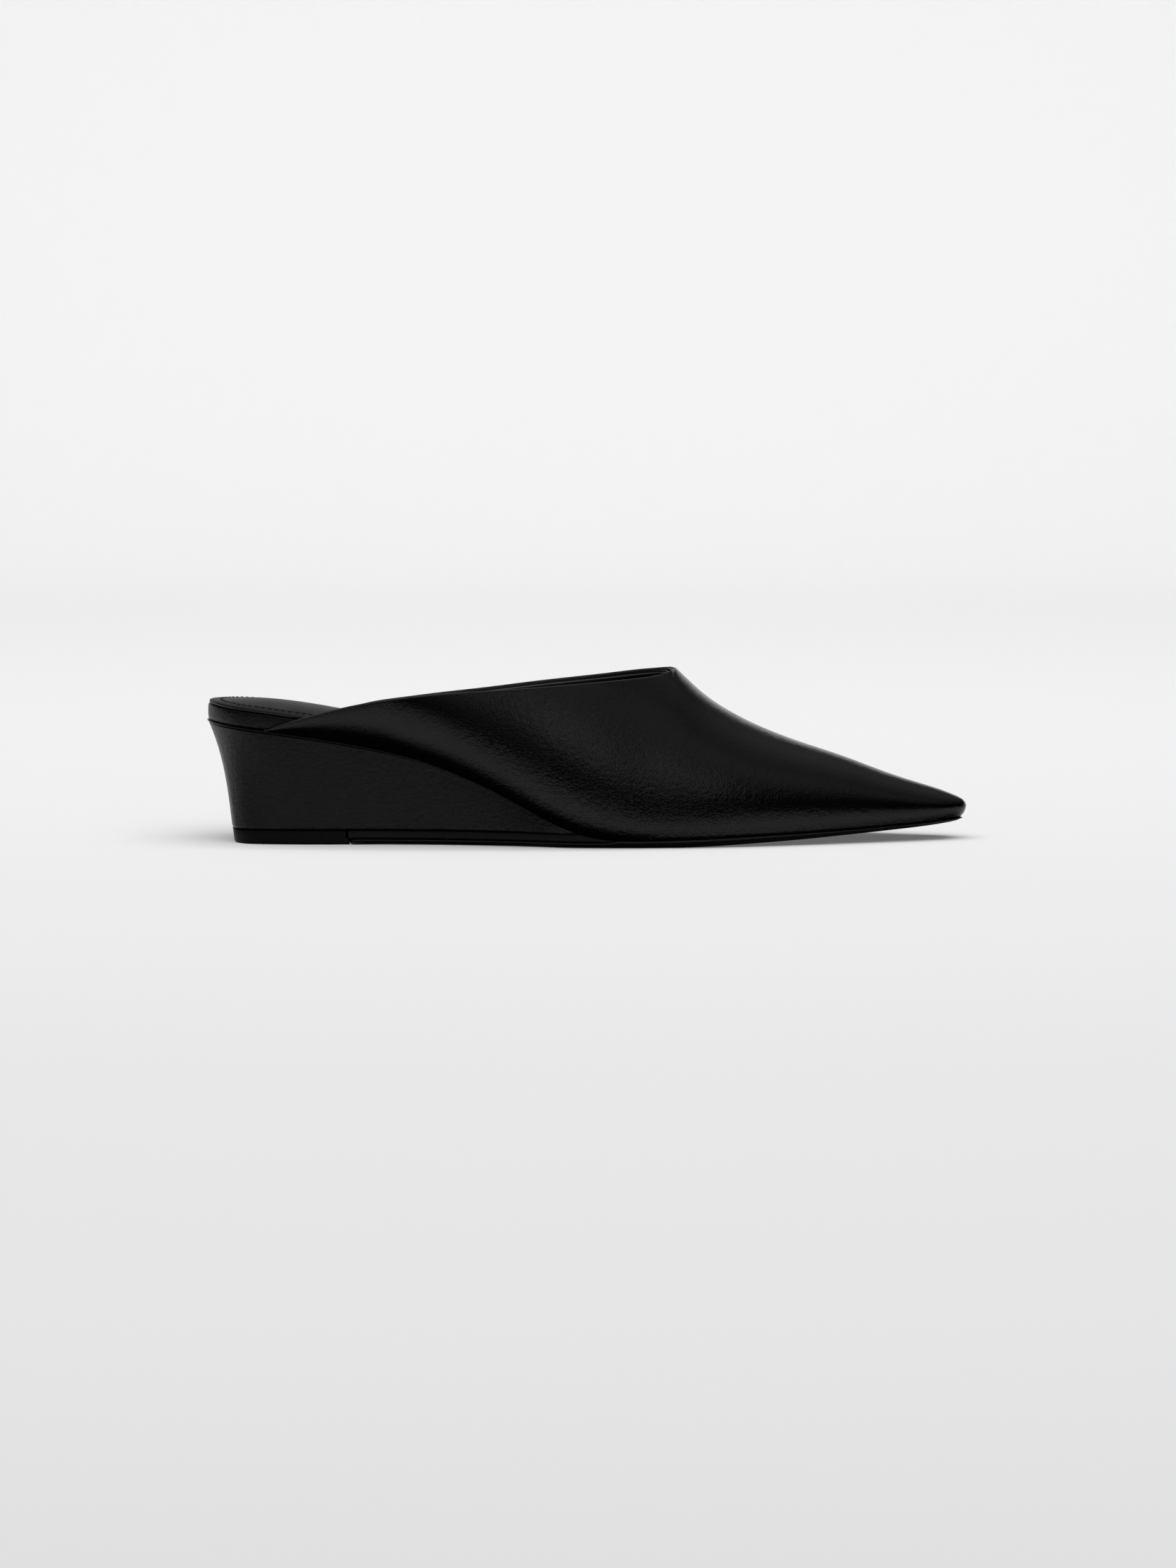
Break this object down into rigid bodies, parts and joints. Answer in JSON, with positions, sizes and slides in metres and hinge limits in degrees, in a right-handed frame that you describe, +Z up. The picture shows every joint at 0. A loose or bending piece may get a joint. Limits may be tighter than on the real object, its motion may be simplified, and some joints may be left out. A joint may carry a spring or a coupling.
{
  "type": "wedge mule",
  "caption": "Right pointed-toe mule: hollow leather upper open over the heel and throat, padded insole, covered wedge, thin outsole and heel lift.",
  "frame": {"origin": "centre of the footprint on the floor, under the middle of the bounding box", "axes": "+X to the toe, +Y to the medial side, +Z up"},
  "size_m": [0.2676, 0.0792, 0.0599],
  "materials": {
    "upper_nappa": "black smooth nappa, fine grain, satin",
    "wedge_wrap": "black smooth leather cover, satin",
    "board_wrap": "black smooth leather cover, satin",
    "sock_leather": "black padded lining leather, stitched near the edge",
    "base_edge": "black finished edge, slightly rough",
    "outsole_rubber": "black thin sole sheet, matte",
    "lift_rubber": "black heel lift, matte"
  },
  "bodies": {
    "root": {"upper": "upper_nappa", "wedge": "wedge_wrap", "insole_board": "board_wrap", "insole_sock": "sock_leather", "wedge_base": "base_edge", "outsole": "outsole_rubber", "heel_lift": "lift_rubber"}
  },
  "joints": []
}
